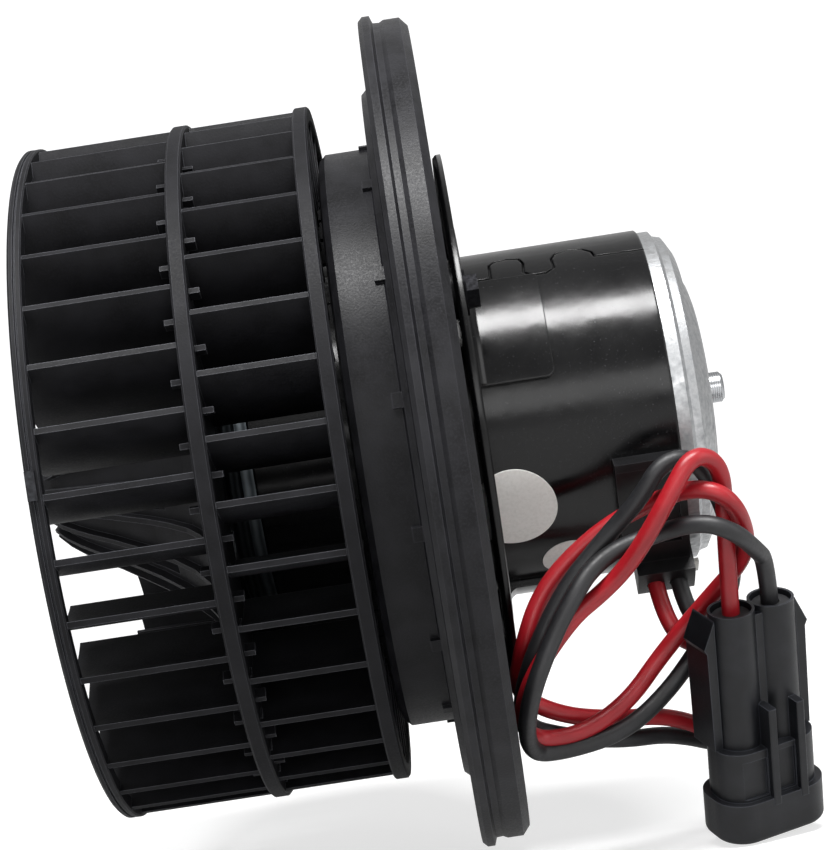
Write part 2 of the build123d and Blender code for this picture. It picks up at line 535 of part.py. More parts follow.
RED_BETWEEN = [
    (55.0, -19.0, -57.0), (66.0, -12.5, -59.0), (73.0, -9.5, -64.0), (73.0, -9.5, -72.5),
    (66.0, -12.0, -77.5), (56.0, -15.5, -76.0), (44.5, -20.0, -69.5), (32.5, -25.0, -68.0),
    (21.0, -29.0, -65.0), (12.0, -31.0, -59.0), (14.0, -45.5, -49.0), (20.5, -43.5, -36.0),
    (34.0, -43.0, -25.0), (47.0, -45.5, -19.0), (57.0, -54.0, -16.5), (65.5, -54.5, -20.5),
    (67.5, -46.0, -31.0), (63.5, -38.5, -37.5), (56.0, -31.5, -44.5), (45.0, -26.0, -55.0),
    (35.5, -29.0, -64.5), (23.5, -33.5, -69.5), (12.0, -36.5, -68.0), (13.5, -52.5, -55.5),
    (25.0, -49.5, -43.0), (32.5, -50.0, -38.5), (38.0, -52.5, -34.0), (43.0, -56.0, -26.5),
    (48.5, -57.5, -17.0), (54.5, -57.0, -8.5), (62.0, -51.0, -12.5), (61.5, -45.0, -24.5),
]
BLACK_BETWEEN = [
    (60.0, -16.0, -51.0), (70.0, -7.0, -54.0), (75.0, -3.0, -64.0), (70.0, -3.0, -76.0),
    (58.0, -9.0, -80.0), (45.0, -17.0, -74.0), (33.5, -23.5, -73.0), (21.5, -27.0, -70.0),
    (12.0, -32.0, -65.5), (14.0, -48.5, -53.5), (24.0, -47.5, -37.5), (35.5, -47.5, -26.5),
    (43.5, -51.0, -17.0), (50.0, -52.0, -9.0), (58.0, -49.5, -9.0), (62.0, -41.0, -20.5),
    (62.5, -34.0, -33.0), (61.5, -29.0, -44.0), (54.0, -25.5, -54.0), (44.5, -26.0, -64.0),
    (33.5, -30.5, -71.5), (20.5, -34.0, -74.0), (12.0, -37.0, -73.0), (13.5, -56.5, -58.5),
    (21.5, -54.5, -44.5), (26.5, -54.0, -38.0), (30.5, -52.0, -33.5), (36.5, -50.5, -29.5),
    (45.5, -50.5, -26.0), (55.5, -57.0, -23.5), (64.5, -57.0, -28.0), (67.5, -49.0, -35.5),
]


def cord(name, points):
    """Round tube along straight runs and tangent arcs."""
    corners = [Vector(*p) for p in points]
    runs = [(b - a).length for a, b in zip(corners, corners[1:])]
    radii = []
    for i in range(1, len(corners) - 1):
        turned = (corners[i] - corners[i - 1]).get_angle(corners[i + 1] - corners[i])
        radii.append(0.45 * min(runs[i - 1], runs[i]) / tan(radians(turned) / 2))
    path = FilletPolyline(*points, radius=radii)
    wire = sweep(Plane(origin=path @ 0, z_dir=path % 0) * Circle(WIRE_R), path=path)
    print(f"{name}: length {path.length:.1f}, radii {[round(r, 1) for r in radii]},",
          f"volume over section x length {wire.volume / (pi * WIRE_R ** 2 * path.length):.4f}")
    save(name, wire)


cord("red_wire", route(LEAD_X[0], -1, 12.0, RED_BETWEEN))
cord("black_wire", route(LEAD_X[1], 1, 8.0, BLACK_BETWEEN))

print("total volume", sum(s.volume for s in nodes.values()))
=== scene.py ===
"""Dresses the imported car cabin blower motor: finishes for its moulded, painted and
plated pieces, its two loose wires, and a plain pale studio around it."""

from math import cos, pi, radians, sin

import bpy
import numpy as np
from mathutils import Matrix, Vector


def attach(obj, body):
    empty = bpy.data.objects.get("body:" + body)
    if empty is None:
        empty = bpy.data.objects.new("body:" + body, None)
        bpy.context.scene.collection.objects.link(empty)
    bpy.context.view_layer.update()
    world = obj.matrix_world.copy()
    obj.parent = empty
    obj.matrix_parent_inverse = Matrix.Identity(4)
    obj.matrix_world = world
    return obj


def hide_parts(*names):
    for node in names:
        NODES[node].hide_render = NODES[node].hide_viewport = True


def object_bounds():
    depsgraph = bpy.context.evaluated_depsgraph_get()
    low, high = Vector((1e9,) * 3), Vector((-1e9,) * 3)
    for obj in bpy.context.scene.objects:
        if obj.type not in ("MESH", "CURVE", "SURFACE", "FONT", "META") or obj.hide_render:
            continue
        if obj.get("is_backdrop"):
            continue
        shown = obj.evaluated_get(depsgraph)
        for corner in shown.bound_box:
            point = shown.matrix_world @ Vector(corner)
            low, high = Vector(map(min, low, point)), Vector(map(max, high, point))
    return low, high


bl_info = {
    "name": "Cabin blower motor",
    "version": (1, 0, 0),
    "blender": (4, 5, 0),
    "location": "3D View > Sidebar > Blower",
    "description": "Finishes, wires and studio for a flange-mounted cabin blower motor",
    "category": "Object",
}

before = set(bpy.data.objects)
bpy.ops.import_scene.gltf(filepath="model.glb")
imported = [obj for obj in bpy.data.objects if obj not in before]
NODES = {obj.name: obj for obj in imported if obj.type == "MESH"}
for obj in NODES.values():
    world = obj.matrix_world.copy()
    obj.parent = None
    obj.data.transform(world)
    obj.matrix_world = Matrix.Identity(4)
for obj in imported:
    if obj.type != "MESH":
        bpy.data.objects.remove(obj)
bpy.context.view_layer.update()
MM = 0.001

# Photograph's camera: its place in mm, its angles in degrees, its lens and sensor in mm
CAMERA_PLACE = (6.04, -533.6, 0.0)
CAMERA_YAW, CAMERA_PITCH, CAMERA_ROLL = -0.785, 0.197, -8.689
CAMERA_LENS, CAMERA_SENSOR = 101.5, 36.0
CAMERA_NEAR, CAMERA_FAR = 0.01, 20.0    # clipping distances in metres

# Studio lamps: name, place in metres, width and height in metres, watts
LAMPS = (
    ("Key softbox", (0.05, -0.42, 0.91), (0.80, 0.24), 22.0),
    ("Front card", (0.10, -1.10, 0.22), (1.0, 0.32), 3.2),
    ("Left strip", (-0.95, -0.45, 0.25), (0.4, 0.9), 1.5),
    ("Right strip", (1.00, -0.35, 0.25), (0.5, 0.9), 3.0),
)

# Studio paper and air: a strength of 1 is white
PAPER_FOOT, PAPER_FAR = 0.70, 0.95      # the paper's own glow near the object and away from it
FOOT_REACH, FAR_REACH = 0.3, 1.3        # metres from the object's origin where those two levels hold
AIR_LIGHT = 0.12                        # the air's light on the object
GLOSS_SHARE = 0.45                      # how much of paper and air a glossy surface mirrors

# Studio sheet in metres: its flat run behind the object, and the radius and steps of its bend
FLAT_RUN, BEND_RADIUS, BEND_STEPS = 1.2, 0.8, 24
WALL_SHARE = 1.6                        # height of its wall, as a share of half its width
FLOOR_GAP = 0.4 * MM                    # air between the object's lowest point and the floor

# Finishes
WAVE_PERIOD = 0.314                     # metres between the crests of a wave texture of scale 1
EDGE_START, EDGE_FULL = 0.985, 0.80     # rounded normal times true normal where an edge starts and is full
BEVEL_SAMPLES = 6

# Wire routes in mm: the points of the part's wires, with the loops moved to follow the photograph
RED_ROUTE = [
    (46.0, -17.23, -35.32), (46.0, -24.59, -50.42),
    (55.0, -19.0, -57.0), (66.0, -12.5, -59.0), (73.0, -9.5, -64.0), (73.0, -9.5, -72.5),
    (66.0, -12.0, -77.5), (56.0, -15.5, -76.0), (44.5, -20.0, -69.5), (32.5, -25.0, -68.0),
    (21.0, -29.0, -65.0), (12.0, -31.0, -59.0), (14.0, -45.5, -49.0), (20.5, -43.5, -36.0),
    (34.0, -43.0, -26.0), (46.0, -45.5, -21.5), (55.0, -54.0, -19.5), (61.5, -54.5, -23.0),
    (64.5, -46.0, -32.0), (63.0, -38.5, -37.5), (56.0, -31.5, -44.5), (45.0, -26.0, -55.0),
    (35.5, -29.0, -64.5), (23.5, -33.5, -69.5), (12.0, -36.5, -68.0), (13.5, -52.5, -55.5),
    (25.0, -49.5, -43.0), (32.5, -50.0, -38.5), (38.0, -52.5, -34.0), (43.0, -56.0, -28.0),
    (48.5, -57.5, -20.5), (54.5, -57.0, -12.5), (60.5, -52.0, -15.5), (60.3, -48.0, -26.0),
    (59.53, -45.89, -35.2), (58.52, -36.75, -60.58),
]
BLACK_ROUTE = [
    (51.0, -17.23, -35.32), (51.0, -24.59, -50.42),
    (60.0, -16.0, -51.0), (70.0, -7.0, -54.0), (75.0, -3.0, -64.0), (70.0, -3.0, -76.0),
    (58.0, -9.0, -80.0), (45.0, -17.0, -74.0), (33.5, -23.5, -73.0), (21.5, -27.0, -70.0),
    (12.0, -32.0, -65.5), (14.0, -48.5, -53.5), (24.0, -47.5, -37.5), (35.5, -47.5, -27.0),
    (43.0, -51.0, -20.5), (48.5, -52.0, -13.5), (55.5, -49.5, -13.5), (60.5, -42.0, -23.0),
    (62.5, -34.0, -33.0), (61.5, -29.0, -44.0), (54.0, -25.5, -54.0), (44.5, -26.0, -64.0),
    (33.5, -30.5, -70.5), (20.5, -34.0, -72.0), (12.5, -37.0, -71.0), (13.5, -56.5, -58.5),
    (21.5, -54.5, -44.5), (26.5, -54.0, -38.0), (30.5, -52.0, -33.5), (36.5, -50.5, -30.0),
    (45.5, -50.5, -28.0), (54.0, -57.0, -26.5), (60.5, -57.0, -29.5), (65.0, -49.5, -34.0),
    (68.42, -40.88, -38.0), (67.56, -33.09, -59.62),
]


def hex_colour(text):
    """Turn an sRGB hex colour into linear RGBA."""
    parts = [int(text[i:i + 2], 16) / 255 for i in (1, 3, 5)]
    linear = [v / 12.92 if v <= 0.04045 else ((v + 0.055) / 1.055) ** 2.4 for v in parts]
    return (*linear, 1.0)


def per(size):
    """The scale of a noise whose spots are this many millimetres across."""
    return 1.0 / (size * MM)


def add(tree, kind, sockets=None, **settings):
    """Add one node: settings go on it, and a socket, by name or number, takes a value, a hex colour
    or a link. A link is a node, for its first output, or a node with an output's name."""
    made = tree.nodes.new(kind)
    for key, value in settings.items():
        setattr(made, key, value)
    for key, value in (sockets or {}).items():
        named = [s for s in made.inputs if s.name == key and s.enabled]
        socket = named[0] if named else made.inputs[key]
        if isinstance(value, bpy.types.Node):
            value = (value, None)
        if isinstance(value, tuple) and isinstance(value[0], bpy.types.Node):
            source = next(s for s in value[0].outputs if s.enabled and value[1] in (None, s.name))
            tree.links.new(source, socket)
        else:
            socket.default_value = hex_colour(value) if isinstance(value, str) else value
    return made


def new_material(name):
    """An empty node material, its tree, and the link that gives a point's place on the object."""
    material = bpy.data.materials.new(name)
    material.use_nodes = True
    tree = material.node_tree
    tree.nodes.clear()
    place = (add(tree, "ShaderNodeTexCoord"), "Object")
    return material, tree, place


def at_edges(tree, width):
    """1 on the corners of a piece and 0 on its faces: where a normal that is rounded over a width in
    millimetres leaves the true one."""
    soft = add(tree, "ShaderNodeBevel", {"Radius": width * MM}, samples=BEVEL_SAMPLES)
    true = (add(tree, "ShaderNodeNewGeometry"), "Normal")
    match = add(tree, "ShaderNodeVectorMath", {0: soft, 1: true}, operation="DOT_PRODUCT")
    return add(tree, "ShaderNodeMapRange", {"Value": match, "From Min": EDGE_START, "From Max": EDGE_FULL})


def seen_rays(tree):
    """1 for rays that show the background straight or through glass, a share for its mirror image in
    gloss, and 0 for rays that carry light."""
    rays = add(tree, "ShaderNodeLightPath")
    straight, mirrored, through = [(rays, f"Is {way} Ray") for way in ("Camera", "Glossy", "Transmission")]
    dimmed = add(tree, "ShaderNodeMath", {0: mirrored, 1: GLOSS_SHARE}, operation="MULTIPLY")
    either = add(tree, "ShaderNodeMath", {0: straight, 1: dimmed}, operation="MAXIMUM")
    return add(tree, "ShaderNodeMath", {0: either, 1: through}, operation="MAXIMUM")


def filled_polypropylene(name, colour, bloom, rubbed_and_highlit, edge, smooth, sheen):
    """Injection-moulded polypropylene, filled with talc or glass: a satin near-black skin, cloudy with
    a pale bloom every few millimetres, and paler along its edges over a width in millimetres: partly rubbed
    wear, partly a painted highlight. Its 0.1 mm grain is drawn at 0.45 mm, so that it shows."""
    cloud_size, grain_size, grain_depth = 7.0, 0.45, 0.07
    material, tree, place = new_material(name)
    cloud = add(tree, "ShaderNodeTexNoise", {"Vector": place, "Scale": per(cloud_size), "Detail": 5.0})
    grain = add(tree, "ShaderNodeTexNoise", {"Vector": place, "Scale": per(grain_size), "Detail": 2.0})
    cloudy = add(tree, "ShaderNodeMapRange", {
        "Value": cloud, "From Min": 0.36, "From Max": 0.70, "To Max": 0.9,
    })
    skin = add(tree, "ShaderNodeMix", {"Factor": cloudy, "A": colour, "B": bloom}, data_type="RGBA")
    dusty = add(tree, "ShaderNodeMapRange", {
        "Value": grain, "From Min": 0.46, "From Max": 0.72, "To Max": 0.8,
    })
    dusted = add(tree, "ShaderNodeMix", {"Factor": dusty, "A": skin, "B": bloom}, data_type="RGBA")
    # Edges painted paler: partly rubbed wear, partly a painted highlight where the edges catch the light
    lighter = at_edges(tree, edge)
    tone = add(tree, "ShaderNodeMix", {"Factor": lighter, "A": dusted, "B": rubbed_and_highlit}, data_type="RGBA")
    rough = add(tree, "ShaderNodeMapRange", {
        "Value": grain, "From Min": 0.3, "From Max": 0.7, "To Min": smooth, "To Max": smooth + 0.16,
    })
    bump = add(tree, "ShaderNodeBump", {"Height": grain, "Distance": grain_depth * MM, "Strength": 0.5})
    shader = add(tree, "ShaderNodeBsdfPrincipled", {
        "Base Color": tone, "Roughness": rough, "Normal": bump, "IOR": 1.49, "Specular IOR Level": sheen,
    })
    add(tree, "ShaderNodeOutputMaterial", {"Surface": shader})
    return material


def stoved_enamel(name, colour, dust):
    """Stoved gloss enamel on deep-drawn steel: deep black with soft-edged highlights, corners that the
    paint rounds, a faint orange peel of 4 mm waves, and dust specks, drawn a third of a millimetre
    across so that they show."""
    peel_size, peel_depth, speck_size, haze_size, corner = 4.0, 0.12, 0.35, 11.0, 0.55
    smooth, hazy = 0.15, 0.26
    material, tree, place = new_material(name)
    peel = add(tree, "ShaderNodeTexNoise", {"Vector": place, "Scale": per(peel_size), "Detail": 1.0})
    specks = add(tree, "ShaderNodeTexNoise", {"Vector": place, "Scale": per(speck_size), "Detail": 1.0})
    haze = add(tree, "ShaderNodeTexNoise", {"Vector": place, "Scale": per(haze_size), "Detail": 4.0})
    dusty = add(tree, "ShaderNodeMapRange", {"Value": specks, "From Min": 0.68, "From Max": 0.80})
    tone = add(tree, "ShaderNodeMix", {"Factor": dusty, "A": colour, "B": dust}, data_type="RGBA")
    rough = add(tree, "ShaderNodeMapRange", {
        "Value": haze, "From Min": 0.3, "From Max": 0.7, "To Min": smooth, "To Max": hazy,
    })
    soft = add(tree, "ShaderNodeBevel", {"Radius": corner * MM}, samples=BEVEL_SAMPLES)
    bump = add(tree, "ShaderNodeBump", {
        "Height": peel, "Distance": peel_depth * MM, "Strength": 0.35, "Normal": soft,
    })
    shader = add(tree, "ShaderNodeBsdfPrincipled", {
        "Base Color": tone, "Roughness": rough, "Normal": bump, "IOR": 1.5, "Specular IOR Level": 0.30,
    })
    add(tree, "ShaderNodeOutputMaterial", {"Surface": shader})
    return material


def plated_metal(name, light, dark, smooth, rough):
    """Plated or pressed sheet metal: a pale metal, cloudy in tone and gloss every millimetre or two. Its
    satin grain, finer than 0.1 mm, is drawn at 0.6 mm, so that it shows."""
    cloud_size, grain_size, grain_depth = 1.6, 0.6, 0.10
    material, tree, place = new_material(name)
    cloud = add(tree, "ShaderNodeTexNoise", {"Vector": place, "Scale": per(cloud_size), "Detail": 5.0})
    grain = add(tree, "ShaderNodeTexNoise", {"Vector": place, "Scale": per(grain_size), "Detail": 3.0})
    cloudy = add(tree, "ShaderNodeMapRange", {
        "Value": cloud, "From Min": 0.34, "From Max": 0.70, "To Max": 0.9,
    })
    tone = add(tree, "ShaderNodeMix", {"Factor": cloudy, "A": light, "B": dark}, data_type="RGBA")
    gloss = add(tree, "ShaderNodeMapRange", {
        "Value": cloudy, "From Max": 0.9, "To Min": smooth, "To Max": rough,
    })
    bump = add(tree, "ShaderNodeBump", {"Height": grain, "Distance": grain_depth * MM, "Strength": 0.5})
    shader = add(tree, "ShaderNodeBsdfPrincipled", {
        "Base Color": tone, "Metallic": 1.0, "Roughness": gloss, "Normal": bump,
    })
    add(tree, "ShaderNodeOutputMaterial", {"Surface": shader})
    return material


def turned_metal(name, light, dark, roughness, spacing=0.5):
    """Turned, ground or drawn metal: rings of tool marks around the shaft. The real marks lie about
    0.1 mm apart and are drawn at a spacing in millimetres that shows."""
    mark_depth = 0.02
    material, tree, place = new_material(name)
    rings = add(tree, "ShaderNodeTexWave", {
        "Vector": place, "Scale": WAVE_PERIOD * per(spacing), "Distortion": 1.5, "Detail": 2.0,
    }, bands_direction="X")
    mark = (rings, "Fac")
    tone = add(tree, "ShaderNodeMix", {"Factor": mark, "A": light, "B": dark}, data_type="RGBA")
    bump = add(tree, "ShaderNodeBump", {"Height": mark, "Distance": mark_depth * MM, "Strength": 0.3})
    shader = add(tree, "ShaderNodeBsdfPrincipled", {
        "Base Color": tone, "Metallic": 1.0, "Roughness": roughness, "Normal": bump,
    })
    add(tree, "ShaderNodeOutputMaterial", {"Surface": shader})
    return material


def fine_grained(name, dark, light, size, roughness, metallic=0.0, ior=1.5):
    """A cast, sintered, wound or pressed surface: a grain in tone and height, drawn at a size in
    millimetres that shows, a few times the real one's."""
    grain_depth = 0.04
    material, tree, place = new_material(name)
    grain = add(tree, "ShaderNodeTexNoise", {"Vector": place, "Scale": per(size), "Detail": 4.0})
    raised = add(tree, "ShaderNodeMapRange", {"Value": grain, "From Min": 0.35, "From Max": 0.70})
    tone = add(tree, "ShaderNodeMix", {"Factor": raised, "A": dark, "B": light}, data_type="RGBA")
    bump = add(tree, "ShaderNodeBump", {"Height": grain, "Distance": grain_depth * MM, "Strength": 0.5})
    shader = add(tree, "ShaderNodeBsdfPrincipled", {
        "Base Color": tone, "Metallic": metallic, "Roughness": roughness, "Normal": bump, "IOR": ior,
    })
    add(tree, "ShaderNodeOutputMaterial", {"Surface": shader})
    return material


def moulded_nylon(name, colour, bloom, rubbed_and_highlit, smooth, sheen):
    """Injection-moulded nylon: a silky dark face with slow clouds of tone, and paler corners that are partly
    rubbed wear and partly a painted highlight. Its fine grain is drawn at 0.4 mm, so that it shows."""
    cloud_size, grain_size, grain_depth, edge = 5.0, 0.4, 0.02, 0.5
    material, tree, place = new_material(name)
    cloud = add(tree, "ShaderNodeTexNoise", {"Vector": place, "Scale": per(cloud_size), "Detail": 4.0})
    grain = add(tree, "ShaderNodeTexNoise", {"Vector": place, "Scale": per(grain_size), "Detail": 2.0})
    cloudy = add(tree, "ShaderNodeMapRange", {"Value": cloud, "From Min": 0.36, "From Max": 0.70})
    skin = add(tree, "ShaderNodeMix", {"Factor": cloudy, "A": colour, "B": bloom}, data_type="RGBA")
    # Corners painted paler: partly rubbed wear, partly a painted highlight where the corners catch the light
    lighter = at_edges(tree, edge)
    tone = add(tree, "ShaderNodeMix", {"Factor": lighter, "A": skin, "B": rubbed_and_highlit}, data_type="RGBA")
    rough = add(tree, "ShaderNodeMapRange", {
        "Value": grain, "From Min": 0.3, "From Max": 0.7, "To Min": smooth, "To Max": smooth + 0.1,
    })
    bump = add(tree, "ShaderNodeBump", {"Height": grain, "Distance": grain_depth * MM, "Strength": 0.3})
    shader = add(tree, "ShaderNodeBsdfPrincipled", {
        "Base Color": tone, "Roughness": rough, "Normal": bump, "IOR": 1.53, "Specular IOR Level": sheen,
    })
    add(tree, "ShaderNodeOutputMaterial", {"Surface": shader})
    return material


def vinyl_insulation(name, colour, lighter, smooth):
    """Extruded vinyl insulation: a soft gloss, with slow changes of tone along the wire and a scuffed
    grain of 0.8 mm."""
    slow_size, scuff_size, scuff_depth = 9.0, 0.8, 0.03
    material, tree, place = new_material(name)
    slow = add(tree, "ShaderNodeTexNoise", {"Vector": place, "Scale": per(slow_size), "Detail": 2.0})
    scuff = add(tree, "ShaderNodeTexNoise", {"Vector": place, "Scale": per(scuff_size), "Detail": 3.0})
    faded = add(tree, "ShaderNodeMapRange", {"Value": slow, "From Min": 0.3, "From Max": 0.8})
    tone = add(tree, "ShaderNodeMix", {"Factor": faded, "A": colour, "B": lighter}, data_type="RGBA")
    rough = add(tree, "ShaderNodeMapRange", {
        "Value": scuff, "From Min": 0.3, "From Max": 0.7, "To Min": smooth, "To Max": smooth + 0.14,
    })
    bump = add(tree, "ShaderNodeBump", {"Height": scuff, "Distance": scuff_depth * MM, "Strength": 0.25})
    shader = add(tree, "ShaderNodeBsdfPrincipled", {
        "Base Color": tone, "Roughness": rough, "Normal": bump, "IOR": 1.5,
    })
    add(tree, "ShaderNodeOutputMaterial", {"Surface": shader})
    return material


def coated_paper(name, colour, shade):
    """Coated paper sticker, left blank: off-white and matt. Its fibres, far finer, are drawn at 0.7 mm,
    so that they just show."""
    fibre_size, fibre_depth = 0.7, 0.02
    material, tree, place = new_material(name)
    fibres = add(tree, "ShaderNodeTexNoise", {"Vector": place, "Scale": per(fibre_size), "Detail": 4.0})
    shaded = add(tree, "ShaderNodeMapRange", {"Value": fibres, "From Min": 0.4, "From Max": 0.8})
    tone = add(tree, "ShaderNodeMix", {"Factor": shaded, "A": colour, "B": shade}, data_type="RGBA")
    bump = add(tree, "ShaderNodeBump", {"Height": fibres, "Distance": fibre_depth * MM, "Strength": 0.3})
    shader = add(tree, "ShaderNodeBsdfPrincipled", {
        "Base Color": tone, "Roughness": 0.62, "Normal": bump, "IOR": 1.5,
    })
    add(tree, "ShaderNodeOutputMaterial", {"Surface": shader})
    return material


def studio_paper():
    """White studio paper: seen, it glows more the farther it lies from the object, and it keeps the
    object's shadow."""
    material, tree, place = new_material("White studio paper")
    reach = add(tree, "ShaderNodeVectorMath", {0: place}, operation="LENGTH")
    level = add(tree, "ShaderNodeMapRange", {
        "Value": reach, "From Min": FOOT_REACH, "From Max": FAR_REACH,
        "To Min": PAPER_FOOT, "To Max": PAPER_FAR,
    })
    strength = add(tree, "ShaderNodeMath", {0: seen_rays(tree), 1: level}, operation="MULTIPLY")
    glow = add(tree, "ShaderNodeEmission", {"Color": "#FFFFFF", "Strength": strength})
    paper = add(tree, "ShaderNodeBsdfDiffuse", {"Color": "#B0B0B0"})
    both = add(tree, "ShaderNodeAddShader", {0: glow, 1: paper})
    add(tree, "ShaderNodeOutputMaterial", {"Surface": both})
    return material


def studio_air():
    """The world beyond the paper: white where it is seen, and a dim even light on the object."""
    world = bpy.data.worlds.new("Studio air")
    world.use_nodes = True
    tree = world.node_tree
    tree.nodes.clear()
    strength = add(tree, "ShaderNodeMapRange", {"Value": seen_rays(tree), "To Min": AIR_LIGHT})
    air = add(tree, "ShaderNodeBackground", {"Color": "#FFFFFF", "Strength": strength})
    add(tree, "ShaderNodeOutputWorld", {"Surface": air})
    return world


def studio_sheet(half, ground):
    """Floor and backdrop as one sheet, half of its width to each side. Its profile is a flat run, a
    quarter circle and a wall, and the same profile stands at both of its sides."""
    angles = np.linspace(0, pi / 2, BEND_STEPS)
    run = np.concatenate([[-half], FLAT_RUN + BEND_RADIUS * np.sin(angles), [FLAT_RUN + BEND_RADIUS]])
    rise = np.concatenate([[0.0], BEND_RADIUS * (1 - np.cos(angles)), [half * WALL_SHARE]])
    across = np.array([-half, half])
    grid = np.stack(np.meshgrid(across, run, indexing="ij"), -1).reshape(-1, 2)
    points = np.column_stack([grid, np.tile(rise, 2) + ground])
    count = len(run)
    first = np.arange(count - 1)
    faces = np.column_stack([first, first + 1, first + 1 + count, first + count])[:, ::-1]
    mesh = bpy.data.meshes.new("Studio paper")
    mesh.from_pydata(points.tolist(), [], faces.tolist())
    mesh.shade_smooth()
    sheet = bpy.data.objects.new("Studio_paper", mesh)
    bpy.context.scene.collection.objects.link(sheet)
    return sheet


def soft_box(name, place, size, watts):
    """A rectangular soft lamp that faces the object."""
    light = bpy.data.lights.new(name, "AREA")
    light.shape = "RECTANGLE"
    light.size, light.size_y = size
    light.energy = watts
    lamp = bpy.data.objects.new(name, light)
    lamp.location = place
    lamp.rotation_euler = (-Vector(place)).to_track_quat("-Z", "Y").to_euler()
    bpy.context.scene.collection.objects.link(lamp)


def camera_matrix():
    """The photograph's view: forward from yaw and pitch, then rolled about it."""
    yaw, pitch, roll = radians(CAMERA_YAW), radians(CAMERA_PITCH), radians(CAMERA_ROLL)
    ahead = Vector((sin(yaw) * cos(pitch), cos(yaw) * cos(pitch), sin(pitch)))
    side = ahead.cross(Vector((0, 0, 1))).normalized()
    top = side.cross(ahead)
    right = side * cos(roll) + top * sin(roll)
    upward = -side * sin(roll) + top * cos(roll)
    turned = Matrix((right, upward, -ahead)).transposed().to_4x4()
    return Matrix.Translation(Vector(CAMERA_PLACE) * MM) @ turned


def photograph_camera():
    """The camera of the photograph's view."""
    lens = bpy.data.cameras.new("Photograph camera")
    lens.sensor_fit = "HORIZONTAL"
    lens.sensor_width = CAMERA_SENSOR
    lens.lens = CAMERA_LENS
    lens.clip_start = CAMERA_NEAR
    lens.clip_end = CAMERA_FAR
    camera = bpy.data.objects.new("Photograph camera", lens)
    camera.matrix_world = camera_matrix()
    bpy.context.scene.collection.objects.link(camera)
    return camera


def make_wire(name, route, radius):
    """A wire: one smooth NURBS line over the route's points, with a round section."""
    curve = bpy.data.curves.new(name, "CURVE")
    curve.dimensions = "3D"
    curve.resolution_u = 12
    curve.bevel_depth = radius
    curve.bevel_resolution = 6
    curve.use_fill_caps = True
    line = curve.splines.new("NURBS")
    line.points.add(len(route) - 1)
    places = np.column_stack([np.array(route) * MM, np.ones(len(route))])
    line.points.foreach_set("co", places.ravel())
    line.order_u = 3
    line.use_endpoint_u = True
    wire = bpy.data.objects.new(name, curve)
    bpy.context.scene.collection.objects.link(wire)
    return wire


def dress(material, *names):
    """Give CAD nodes one finish."""
    for name in names:
        piece = NODES[name]
        piece.data.materials.clear()
        piece.data.materials.append(material)


def colour_setting(name, description, text):
    """A colour that a user may change, whose default is an sRGB hex colour."""
    return bpy.props.FloatVectorProperty(name=name, description=description, default=hex_colour(text),
                                         size=4, min=0.0, max=1.0, subtype="COLOR")


class BlowerSizes(bpy.types.PropertyGroup):
    """Sizes that a user may change."""
    wire: bpy.props.FloatProperty(name="Wire", description="Outside diameter of a wire", default=3.8 * MM,
                                  min=0.001, max=0.008, unit="LENGTH")
    red_length: bpy.props.FloatProperty(name="Red wire length", description="Length of the red wire",
                                        default=440.0 * MM, unit="LENGTH")
    black_length: bpy.props.FloatProperty(name="Black wire length", description="Length of the black wire",
                                          default=448.9 * MM, unit="LENGTH")
    floor: bpy.props.FloatProperty(name="Floor", description="Half the width of the floor", default=2.5,
                                   unit="LENGTH")


class BlowerColours(bpy.types.PropertyGroup):
    """Colours that a user may change."""
    flange: colour_setting("Flange", "Moulded flange", "#101012")
    wheel: colour_setting("Wheel", "Moulded wheel", "#0F0F11")
    enamel: colour_setting("Enamel", "Paint on the motor case", "#060607")
    red: colour_setting("Red wire", "Red insulation", "#8A0C16")
    black: colour_setting("Black wire", "Black insulation", "#0E0E10")
    plug: colour_setting("Plug", "Moulded plug", "#0F1013")


class BLOWER_OT_flange(bpy.types.Operator):
    """Finish the moulded mounting flange and the rubber ring inside it"""
    bl_idname = "blower.flange"
    bl_label = "Mounting flange"

    def execute(self, context):
        colour = context.scene.blower_colours.flange
        # Edge colour #343438: partly rubbed wear, partly a painted highlight on the flange's edges
        plastic = filled_polypropylene("Talc filled polypropylene", colour, "#232326", "#343438",
                                       edge=0.5, smooth=0.34, sheen=0.18)
        dress(plastic, "mounting_flange")
        rubber = fine_grained("Moulded EPDM rubber", "#101011", "#1B1B1C", 1.6, 0.7, ior=1.52)
        dress(rubber, "isolator_ring")
        return {"FINISHED"}


class BLOWER_OT_motor_case(bpy.types.Operator):
    """Finish the painted can, its mount ring, caps, screws, bushes, magnets and stickers, and every spring"""
    bl_idname = "blower.motor_case"
    bl_label = "Motor case"

    def execute(self, context):
        enamel = stoved_enamel("Black stoving enamel", context.scene.blower_colours.enamel, "#343436")
        dress(enamel, "motor_can", "mount_ring")
        zinc = plated_metal("Bright zinc plate", "#BCBDBE", "#8E9092", 0.34, 0.56)
        dress(zinc, "tail_end_cap")
        drawn = turned_metal("Drawn zinc-plated steel", "#8C9499", "#4C5256", 0.38, spacing=1.8)
        dress(drawn, "front_end_cap")
        black_zinc = fine_grained("Black zinc plate", "#0E0E0F", "#1A1A1C", 0.8, 0.46, metallic=1.0)
        dress(black_zinc, "ring_screw_1", "ring_screw_2", "ring_screw_3")
        paper = coated_paper("Coated paper", "#F1F0EC", "#E4E3DE")
        dress(paper, "balance_label", "small_label")
        bronze = fine_grained("Sintered bronze", "#7A5A34", "#A07C4C", 0.5, 0.45, metallic=1.0)
        dress(bronze, "tail_bush", "front_bush")
        ferrite = fine_grained("Sintered ferrite", "#26262A", "#3A3A3E", 0.8, 0.6, ior=1.9)
        dress(ferrite, "magnet_upper", "magnet_lower")
        spring = plated_metal("Spring steel strip", "#8E9194", "#6E7174", 0.28, 0.4)
        dress(spring, "magnet_spring_near", "magnet_spring_far", "wheel_clip", "brush_spring_upper",
              "brush_spring_lower")
        phosphate = fine_grained("Phosphated spring steel", "#2A2A2C", "#3C3D40", 0.7, 0.42, metallic=1.0)
        dress(phosphate, "balance_clip")
        return {"FINISHED"}


